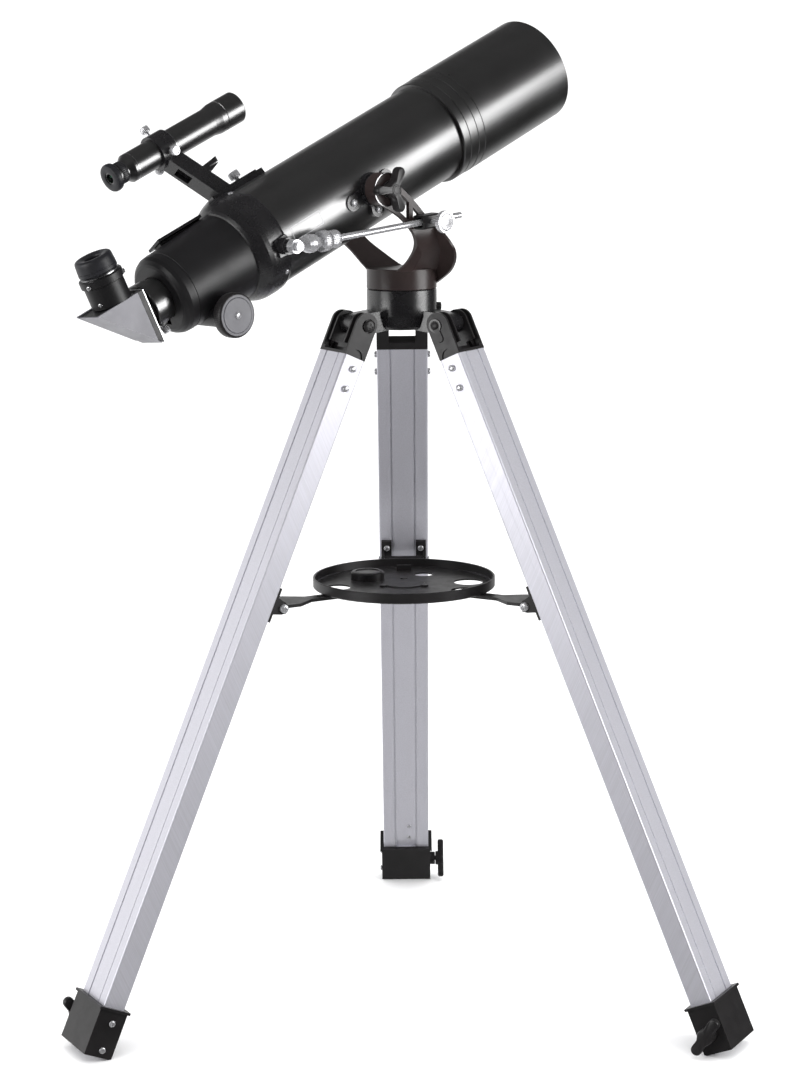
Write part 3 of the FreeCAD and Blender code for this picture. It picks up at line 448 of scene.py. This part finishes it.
def cross_screw(radius, height):
    """The domed head with its recess, made once with a Boolean and returned as plain lists."""
    head = plain_object("head_blank", screw_head(radius, height))
    arm, half_width = radius * 0.55, radius * 0.16
    tools = []
    for across, along in ((arm, half_width), (half_width, arm)):
        part = [(x, y, z) for x in (height * 0.45, height * 2) for y, z in
                ((-across, -along), (across, -along), (across, along), (-across, along))]
        tool = plain_object("head_tool", (part, BOX_FACES))
        tools.append(tool)
        cut = head.modifiers.new("recess", "BOOLEAN")
        cut.operation = "DIFFERENCE"
        cut.solver = "EXACT"
        cut.object = tool
    result = head.evaluated_get(bpy.context.evaluated_depsgraph_get()).to_mesh()
    part = [tuple(v.co) for v in result.vertices], [tuple(p.vertices) for p in result.polygons]
    for obj in [head] + tools:
        bpy.data.objects.remove(obj)
    return part


def smooth_min(a, b, k):
    h = max(0.0, min(1.0, 0.5 + 0.5 * (b - a) / k))
    return b + (a - b) * h - k * h * (1 - h)


RAY_STEP = 0.5
PAST_TIP = 3


def lobed_outline(arms, reach, waist, tip, core, blend, steps=120):
    """Outline of a hub with arms, as angles and radii, found along rays from the middle."""
    outline = []
    for i in range(steps):
        angle = 2 * math.pi * i / steps
        direction = Vector((math.cos(angle), math.sin(angle)))

        def outside(radius):
            p = direction * radius
            value = p.length - core
            for arm in arms:
                a = Vector((math.cos(arm), math.sin(arm)))
                along = max(0.0, min(1.0, p.dot(a) / reach))
                arm_width = waist + (tip - waist) * along ** 3
                value = smooth_min(value, (p - a * reach * along).length - arm_width, blend)
            return value > 0

        radius = last_inside = core * 0.7
        while radius < reach + tip + PAST_TIP:
            if not outside(radius):
                last_inside = radius
            radius += RAY_STEP
        low_r, high_r = last_inside, last_inside + RAY_STEP
        for _ in range(16):
            mid = (low_r + high_r) / 2
            if outside(mid):
                high_r = mid
            else:
                low_r = mid
        outline.append((angle, low_r))
    return outline


def lobed_solid(outline, layers):
    """Stacked outlines along local Y: layers of (y, inset)."""
    verts, faces = [], []
    steps = len(outline)
    for y, inset in layers:
        for angle, radius in outline:
            r = max(0.3, radius - inset)
            verts.append((r * math.cos(angle), y, r * math.sin(angle)))
    for row in range(len(layers) - 1):
        a, b = row * steps, (row + 1) * steps
        for i in range(steps):
            j = (i + 1) % steps
            faces.append((a + i, a + j, b + j, b + i))
    for row in (0, len(layers) - 1):
        centre = len(verts)
        verts.append((0, layers[row][0], 0))
        for i in range(steps):
            faces.append((row * steps + i, row * steps + (i + 1) % steps, centre))
    return verts, faces


# ---- star knobs on the altitude axis ------------------------------------------------------
STAR_LAYERS = [(78.6, 3.0), (79.2, 1.2), (80.4, 0.25), (82.0, 0.0),
               (85.6, 0.0), (87.2, 0.25), (88.4, 1.1), (88.9, 2.4)]
STAR_COLLAR = [(77.0, 4.3), (77.0, 8.3), (77.5, 8.8), (79.6, 8.8), (79.6, 4.3)]
STAR_CAP = [(88.6, 5.6), (89.0, 5.5), (89.35, 5.0), (89.35, 4.2), (89.05, 3.9), (89.05, 3.6),
            (89.45, 3.3), (89.5, 0.02)]


def star_knob(face, name, node, body):
    arms = [math.radians(a) for a in (180.0, 66.0, -66.0)]
    outline = lobed_outline(arms, 19.6, 3.5, 4.9, 7.8, 5.0)
    star = lobed_solid(outline, [(face * y, inset) for y, inset in STAR_LAYERS])
    outward = turned_to((0, face, 0))
    collar = moved(lathe(STAR_COLLAR, 64, True), outward)
    cap = moved(lathe(STAR_CAP, 64), outward)
    parts = [moved(p, Matrix.Translation((AXIS_W, 0, AXIS_Z))) for p in (star, collar, cap)]
    obj = piece(name, *merged(parts), FORK, FINISHES["black_plastic"], body, "black_plastic", 28)
    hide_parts(node)


star_knob(-1, "star_knob_near", "altitude_knob_near", "knob_near")
star_knob(1, "star_knob_far", "altitude_knob_far", "knob_far")

# ---- focus wheels: ribbed rims and centre screws ------------------------------------------
WHEEL_RIM = [(47.5, 18.0), (47.4, 19.6), (48.6, 21.6), (50.0, 22.45, 0.35), (57.4, 22.45, 0.35),
             (58.6, 21.7), (59.5, 20.6), (59.5, 19.9), (57.0, 19.9), (50.0, 19.9)]
WHEEL_RIBS = 72
WHEEL_SCREW_SEAT = 59.9
CROSS = cross_screw(3.5, 1.6)
SMALL_CROSS = cross_screw(2.5, 1.1)
rims, wheel_screws = [], []
for face in (-1, 1):
    spot = Matrix.Translation((PINION[0], 0, PINION[1])) @ turned_to((0, face, 0))
    rims.append(moved(lathe(WHEEL_RIM, WHEEL_RIBS * 4, True, WHEEL_RIBS), spot))
    wheel_screws.append(moved(CROSS, spot @ Matrix.Translation((WHEEL_SCREW_SEAT, 0, 0))))
piece("focus_wheel_rims", *merged(rims), TUBE, FINISHES["black_plastic"], "focus_spindle", "black_plastic")
piece("focus_wheel_screws", *merged(wheel_screws), TUBE, FINISHES["chrome_hardware"],
      "focus_spindle", "chrome_hardware")

# ---- slow-motion rod ----------------------------------------------------------------------
along_rod = Matrix.Translation((0, -ROD_H, 0))
piece("adjuster_nut_knurl", *moved(knurled_band(44.0, 55.0, 9.1, 0.5, 36, 7.4), along_rod), ROD,
      FINISHES["chrome_hardware"], "rod_nut", "chrome_hardware")
piece("rod_collar_knurl", *moved(knurled_band(33.4, 41.6, 10.6, 0.45, 36, 9.0), along_rod), ROD,
      FINISHES["chrome_hardware"], "rod", "chrome_hardware")
lock_at = turned_to((0, -1, 0))
LOCK_CAP = [(101.4, 9.4), (101.9, 8.8), (102.2, 7.6), (102.0, 4.0), (102.3, 3.2), (102.3, 0.02)]
lock_parts = [knurled_band(96.0, 101.6, 11.7, 0.6, 32, 9.0), lathe(LOCK_CAP, 64)]
piece("rod_lock_knurl", *merged([moved(part, lock_at) for part in lock_parts]),
      CLAMP, FINISHES["chrome_hardware"], "swivel_screw", "chrome_hardware")

# ---- knurled thumb screws on the finder and its shoe, screw heads and a painted highlight edge on the diagonal ------
thumbs = []
for turn_deg in (0.0, 120.0, -120.0):
    spin = Matrix.Translation((0, 0, FINDER_AXIS)) @ Matrix.Rotation(math.radians(turn_deg), 4, "X")
    thumbs.append(moved(thumb_screw(6.3, 4.9), spin @ turned_to((0, 0, 1), (-150.5, 0, 21.8))))
thumbs.append(moved(thumb_screw(7.2, 6.1), turned_to((0, 0, 1), (-96.0, 0, 62.9))))
piece("finder_thumb_knurls", *merged(thumbs), FINDER, FINISHES["chrome_hardware"], "tube", "chrome_hardware")
on_holder = Matrix.Translation((DIAGONAL_X, 0, 0))
SET_SCREW = cross_screw(2.3, 0.9)
dots = []
for turn_deg, height, reach in ((78.0, 47.0, 23.3), (198.0, 47.0, 23.3), (318.0, 47.0, 23.3),
                                (204.0, 27.0, 20.1)):
    spin = on_holder @ Matrix.Rotation(math.radians(turn_deg), 4, "Z")
    dots.append(moved(SET_SCREW, spin @ turned_to((1, 0, 0), (reach, 0, height))))
piece("diagonal_screw_heads", *merged(dots), DIAGONAL, FINISHES["steel_hardware"], "diagonal",
      "chrome_hardware")


def edge_frame(x0, x1, low_z, high_z, half, bar):
    """A flat rectangular frame standing across local X."""
    loops = [(x0, 0), (x1, 0), (x1, bar), (x0, bar)]
    verts = [(x, y, z) for x, inset in loops
             for y, z in ((-half + inset, low_z + inset), (half - inset, low_z + inset),
                          (half - inset, high_z - inset), (-half + inset, high_z - inset))]
    faces = [(row * 4 + i, row * 4 + (i + 1) % 4, (row + 1) % 4 * 4 + (i + 1) % 4, (row + 1) % 4 * 4 + i)
             for row in range(4) for i in range(4)]
    return verts, faces


# steel-bright frame on the black plastic diagonal's front edge: a painted highlight
piece("diagonal_front_highlight_edge", *edge_frame(-281.2, -280.1, -34.0, 22.4, 20.0, 2.2), DIAGONAL,
      FINISHES["steel_hardware"], "diagonal", "grained_black_plastic")
down_near = Vector((0, -0.55, -0.835))
neck = moved(lathe([(22.5, 1.6), (27.5, 1.6)], 24), turned_to(down_near))
head = moved(thumb_screw(6.0, 4.0), turned_to(down_near) @ Matrix.Translation((27.0, 0, 0)))
piece("drawtube_thumb_screw", *moved(merged([neck, head]), Matrix.Translation((DRAWTUBE_SCREW_X, 0, 0))), TUBE,
      FINISHES["chrome_hardware"], "drawtube", "chrome_hardware")

# ---- eyepiece and eyecup ------------------------------------------------------------------
upright = Matrix.Translation((DIAGONAL_X, 0, 0)) @ turned_to((0, 0, 1))
EYECUP = [(54.7, 14.05), (54.7, 18.6), (55.1, 19.5), (55.9, 19.95), (58.6, 19.85), (58.9, 19.5), (59.6, 19.5),
          (59.9, 19.8), (66.0, 19.3), (68.4, 19.1), (69.7, 18.6), (70.6, 17.6), (71.0, 16.2), (71.0, 14.6),
          (70.6, 12.4), (70.0, 10.0), (69.3, 8.5), (68.4, 8.0), (66.2, 8.0), (66.2, 14.05)]
eyecup_piece = piece("eyecup_rolled", *moved(lathe(EYECUP, 96, True), upright), DIAGONAL,
                     FINISHES["eyecup_rubber"], "ocular", "eyecup_rubber", 28)
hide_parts("eyecup")
# a steel-bright ring on the black eyepiece body: a painted highlight
EYEPIECE_HIGHLIGHT_RING = [(52.5, 18.6), (52.5, 19.5), (53.4, 19.5), (53.4, 18.6)]
piece("eyepiece_highlight_ring", *moved(lathe(EYEPIECE_HIGHLIGHT_RING, 96, True), upright), DIAGONAL,
      FINISHES["steel_hardware"], "ocular", "eyepiece_black")

# ---- finder: rubbered eye end, bright edges, ribbed focus ring ------------------------------
on_finder = Matrix.Translation((0, 0, FINDER_AXIS))
EYE_RING = [(-218.9, 6.2), (-219.3, 8.0), (-219.2, 11.6), (-218.4, 13.6), (-216.8, 14.4), (-214.4, 14.5),
            (-212.6, 14.1), (-211.4, 12.9), (-210.6, 11.2), (-210.6, 10.5), (-212.4, 10.4), (-214.0, 12.0),
            (-217.0, 12.4), (-217.9, 6.2)]
piece("finder_eye_ring", *moved(lathe(EYE_RING, 72, True), on_finder),
      FINDER, FINISHES["eyecup_rubber"], "tube", "eyecup_rubber", 25)
piece("finder_focus_ribs", *moved(knurled_band(-208.6, -201.2, 11.3, 0.5, 40, 10.3), on_finder), FINDER,
      FINISHES["eyepiece_black"], "tube", "eyepiece_black")
edges = [moved(lathe([(x, r - 0.3), (x, r + 0.12), (x + w, r + 0.12), (x + w, r - 0.3)], 72, True), on_finder)
         for x, r, w in ((-190.4, 14.75, 0.7), (-141.0, 17.9, 0.5))]
piece("finder_edge_rings", *merged(edges), FINDER, FINISHES["steel_hardware"], "tube", "steel_hardware")

# ---- blank nameplate outline on the tube ----------------------------------------------------
PLATE_SIDE_STEPS = 24


def curved_strip(corners, width, radius):
    """A thin raised line round a rectangle wrapped on the tube: corners as (along, angle) limits."""
    x0, x1, a0, a1 = corners
    line = [(x0, a0), (x1, a0), (x1, a1), (x0, a1)]
    verts, faces = [], []
    step_angle = width / radius
    outer, inner = [], []
    for (ax0, aa0), (ax1, aa1) in zip(line, line[1:] + line[:1]):
        for i in range(PLATE_SIDE_STEPS):
            f = i / PLATE_SIDE_STEPS
            x, a = ax0 + (ax1 - ax0) * f, aa0 + (aa1 - aa0) * f
            outer.append((x, a))
            cx, ca = (x0 + x1) / 2, (a0 + a1) / 2
            inner.append((cx + (x - cx) * (1 - 2 * width / (x1 - x0)),
                          ca + (a - ca) * (1 - 2 * step_angle / (a1 - a0))))
    count = len(outer)
    foot, top = radius - 0.02, radius + 0.07
    for ring, r in ((outer, foot), (outer, top), (inner, top), (inner, foot)):
        for x, a in ring:
            verts.append((x, -r * math.cos(a), r * math.sin(a)))
    for row in range(3):
        for i in range(count):
            j = (i + 1) % count
            faces.append((row * count + i, row * count + j, (row + 1) * count + j, (row + 1) * count + i))
    return verts, faces


piece("blank_plate_outline", *curved_strip((-114, -73, math.radians(-4), math.radians(12)), 0.5, TUBE_R),
      TUBE, FINISHES["white_print"], "tube", "gloss_black_paint")

# ---- screw heads on the legs, feet and brackets ----------------------------------------------
for leg_name, azimuth in LEG_AZIMUTHS.items():
    heads = []
    for face in (-1, 1):
        for along in (48.0, 70.0):
            heads.append(moved(CROSS, turned_to((0, face, 0), (0.6, face * 29.6, along))))
    for along in (772.8, 802.0):
        heads.append(moved(CROSS, turned_to((0, -1, 0), (0.3, -31.4, along))))
    for along in (723.7, 741.9):
        heads.append(moved(SMALL_CROSS, turned_to((-1, 0, 0), (-10.8, 4.0, along))))
    for y in (-19.5, 19.5):
        heads.append(moved(CROSS, turned_to((-1, 0, 0), (-14.8, y, 297.5))))
    for face in (-1, 1):
        heads.append(moved(cross_screw(4.5, 1.8), turned_to((0, face, 0), (-23.0, face * 27.8, 308.0))))
    piece("cross_heads_" + leg_name, *merged(heads), leg_place(azimuth), FINISHES["chrome_hardware"],
          "leg_" + leg_name, "chrome_hardware")

plate_heads = []
for face in (-1, 1):
    for angle, reach in ((183.0, 30.0), (10.0, 21.2), (-95.0, 21.2)):
        a = math.radians(angle)
        spot = (reach * math.cos(a), face * 55.4, reach * math.sin(a))
        plate_heads.append(moved(CROSS, turned_to((0, face, 0), spot)))
piece("trunnion_cross_heads", *merged(plate_heads), TUBE, FINISHES["chrome_hardware"], "tube",
      "chrome_hardware")
ring_screws = []
for turn_deg in (0.0, 120.0, 240.0):
    a = math.radians(turn_deg + 210.6)
    out = Vector((0, math.cos(a), math.sin(a)))
    ring_screws.append(moved(SMALL_CROSS, turned_to(out, Vector((REAR_RING_X, 0, 0)) + out * 55.5)))
piece("rear_ring_screws", *merged(ring_screws), TUBE, FINISHES["chrome_hardware"], "tube",
      "chrome_hardware")


# ---- black bolt heads and nut levers at the leg pivots, painted highlight rims on the fork's eyes ---
PIVOT_CROSS = cross_screw(6.4, 2.0)
for leg_name, azimuth in LEG_AZIMUTHS.items():
    lever = lobed_solid(lobed_outline([math.radians(90)], 15.0, 3.4, 3.9, 6.0, 3.0, 90),
                        [(25.9, 0.8), (26.4, 0.2), (28.6, 0.2), (29.4, 0.9)])
    cap = moved(lathe([(29.2, 4.2), (30.4, 4.0), (30.8, 3.2), (30.8, 0.02)], 40), turned_to((0, 1, 0)))
    head = moved(PIVOT_CROSS, turned_to((0, -1, 0), (0, -28.8, 0)))
    piece("pivot_hardware_" + leg_name, *merged([lever, cap, head]), leg_place(azimuth),
          FINISHES["black_plastic"], "tripod_head", "satin_black_cast", 30)
# steel-bright rims on the painted fork eyes: a painted highlight along the eye edges
rims = []
for face in (-1, 1):
    highlight_rim = lathe([(74.3, 16.4), (74.3, 17.25), (75.35, 17.25), (75.35, 16.4)], 72, True)
    rims.append(moved(highlight_rim, turned_to((0, face, 0), (AXIS_W, 0, AXIS_Z))))
piece("fork_eye_highlight_rims", *merged(rims), FORK, FINISHES["steel_hardware"], "fork", "fork_paint")

# ---- wing knobs on the feet -------------------------------------------------------------------
WING_LAYERS = [(40.0, 2.2), (40.5, 1.0), (41.6, 0.2), (45.6, 0.2), (46.8, 1.0), (47.3, 2.2)]
WING_BOSS = [(37.0, 3.0), (37.0, 8.0), (37.6, 8.6), (40.6, 8.6), (40.6, 3.0)]
WING_TURN = math.radians(35)
WING_AT = (2.45, 0, 788.0)
for leg_name, azimuth in LEG_AZIMUTHS.items():
    outline = lobed_outline([0.0, math.pi], 18.2, 5.4, 6.0, 8.8, 3.2, 96)
    wing = moved(lobed_solid(outline, WING_LAYERS), Matrix.Rotation(WING_TURN, 4, "Y"))
    boss = moved(lathe(WING_BOSS, 48, True), turned_to((0, 1, 0)))
    stem = moved(lathe([(26.2, 3.0), (38.0, 3.0)], 32), turned_to((0, 1, 0)))
    parts = [moved(p, Matrix.Translation(WING_AT)) for p in (wing, boss, stem)]
    obj = piece("wing_knob_" + leg_name, *merged(parts), leg_place(azimuth), FINISHES["black_plastic"],
                "foot_screw_" + leg_name, "black_plastic", 28)
    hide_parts("foot_knob_" + leg_name)


# ---- floor, light, camera ------------------------------------------------------------------
def plane(name, width, height, place, material):
    mesh = bpy.data.meshes.new(name)
    x, y = width / 2, height / 2
    corners = [(-x, -y, 0), (x, -y, 0), (x, y, 0), (-x, y, 0)]
    mesh.from_pydata(corners, [], [(0, 1, 2, 3)])
    mesh.materials.append(material)
    obj = bpy.data.objects.new(name, mesh)
    obj.matrix_world = place
    bpy.context.scene.collection.objects.link(obj)
    return obj


floor_finish = Finish("studio_floor", (0.93, 0.93, 0.935), 0.8)
floor_finish.vary(1.5, 0.01).grain(60, 0.00005)
floor = plane("studio_floor", 60, 60, Matrix.Translation((0, 0, -0.0005)), floor_finish.done())
floor.visible_glossy = False


def softbox(name, position, target, width, height, power):
    data = bpy.data.lights.new(name, "AREA")
    data.shape = "RECTANGLE"
    data.size = width
    data.size_y = height
    data.energy = power
    lamp = bpy.data.objects.new(name, data)
    lamp.location = position
    lamp.rotation_euler = (Vector(target) - Vector(position)).to_track_quat("-Z", "Y").to_euler()
    bpy.context.scene.collection.objects.link(lamp)
    return lamp


softbox("right_softbox", (2.1, -0.8, 0.95), (0, -0.1, 0.9), 1.4, 1.05, 32)
softbox("left_softbox", (-1.95, -1.4, 0.85), (0, 0, 0.8), 1.1, 1.3, 20)
softbox("top_softbox", (0.3, -0.1, 3.2), (0, 0, 0.6), 0.9, 0.5, 12).visible_glossy = False

world = bpy.data.worlds.new("studio")
world.use_nodes = True
bpy.context.scene.world = world
tree = world.node_tree
WHITE = (1, 1, 1, 1)
BACKDROP_LEVEL = 1.16
tree.nodes.clear()
sky_out = tree.nodes.new("ShaderNodeOutputWorld")
sky = tree.nodes.new("ShaderNodeBackground")
backdrop = tree.nodes.new("ShaderNodeBackground")
chooser = tree.nodes.new("ShaderNodeMixShader")
path = tree.nodes.new("ShaderNodeLightPath")
direction = tree.nodes.new("ShaderNodeTexCoord")
split = tree.nodes.new("ShaderNodeSeparateXYZ")


def sky_ramp(source, low, high, at_low, at_high):
    node = tree.nodes.new("ShaderNodeMapRange")
    node.interpolation_type = "SMOOTHSTEP"
    node.inputs["From Min"].default_value = low
    node.inputs["From Max"].default_value = high
    node.inputs["To Min"].default_value = at_low
    node.inputs["To Max"].default_value = at_high
    tree.links.new(source, node.inputs["Value"])
    return node.outputs[0]


def sky_math(operation, a, b):
    node = tree.nodes.new("ShaderNodeMath")
    node.operation = operation
    tree.links.new(a, node.inputs[0])
    tree.links.new(b, node.inputs[1])
    return node.outputs[0]


toward_back = tree.nodes.new("ShaderNodeVectorMath")
toward_back.operation = "DOT_PRODUCT"
toward_back.inputs[1].default_value = (-0.6, 1.0, 0.0)
tree.links.new(direction.outputs["Generated"], toward_back.inputs[0])
tree.links.new(direction.outputs["Generated"], split.inputs[0])
back_wall = sky_ramp(toward_back.outputs["Value"], 0.15, 0.8, 0.02, 1.0)
low_sky = sky_ramp(split.outputs["Z"], 0.15, 0.5, 1.0, 0.05)
near_floor = sky_ramp(split.outputs["Z"], -0.85, -0.6, 0.3, 0.02)
level = sky_math("MAXIMUM", sky_math("MULTIPLY", back_wall, low_sky), near_floor)
tree.links.new(level, sky.inputs["Strength"])
sky.inputs["Color"].default_value = WHITE
backdrop.inputs["Color"].default_value = WHITE
backdrop.inputs["Strength"].default_value = BACKDROP_LEVEL
fill = tree.nodes.new("ShaderNodeBackground")
lit = tree.nodes.new("ShaderNodeMixShader")
front_fill = sky_ramp(split.outputs["Y"], -0.7, 0.3, 0.4, 1.3)
overhead_fill = sky_ramp(split.outputs["Z"], 0.25, 0.8, 0.0, 1.9)
tree.links.new(sky_math("MAXIMUM", front_fill, overhead_fill), fill.inputs["Strength"])
fill.inputs["Color"].default_value = WHITE
tree.links.new(path.outputs["Is Glossy Ray"], lit.inputs[0])
tree.links.new(fill.outputs[0], lit.inputs[1])
tree.links.new(sky.outputs[0], lit.inputs[2])
tree.links.new(path.outputs["Is Camera Ray"], chooser.inputs[0])
tree.links.new(lit.outputs[0], chooser.inputs[1])
tree.links.new(backdrop.outputs[0], chooser.inputs[2])
tree.links.new(chooser.outputs[0], sky_out.inputs[0])
bpy.context.scene.view_settings.view_transform = "Standard"

# The camera's angles, place and lens were fitted to the photograph's view.
PITCH = math.radians(10.521)
YAW = math.radians(-0.249)
ROLL = math.radians(0.492)
LENS = 83.19
SENSOR = 36
CAMERA_AT = (0, -2662.85, 1002.575)
look = Vector((math.sin(YAW) * math.cos(PITCH), math.cos(YAW) * math.cos(PITCH), -math.sin(PITCH)))
level_right = Vector((math.cos(YAW), -math.sin(YAW), 0))
level_down = look.cross(level_right)
cam_right = level_right * math.cos(ROLL) + level_down * math.sin(ROLL)
cam_down = level_down * math.cos(ROLL) - level_right * math.sin(ROLL)
camera_data = bpy.data.cameras.new("camera")
camera_data.lens = LENS
camera_data.sensor_width = SENSOR
camera = bpy.data.objects.new("camera", camera_data)
turn = Matrix((cam_right, -cam_down, -look)).transposed().to_4x4()
camera.matrix_world = Matrix.Translation(HUB + Vector(CAMERA_AT) * MM) @ turn
bpy.context.scene.collection.objects.link(camera)
bpy.context.scene.camera = camera
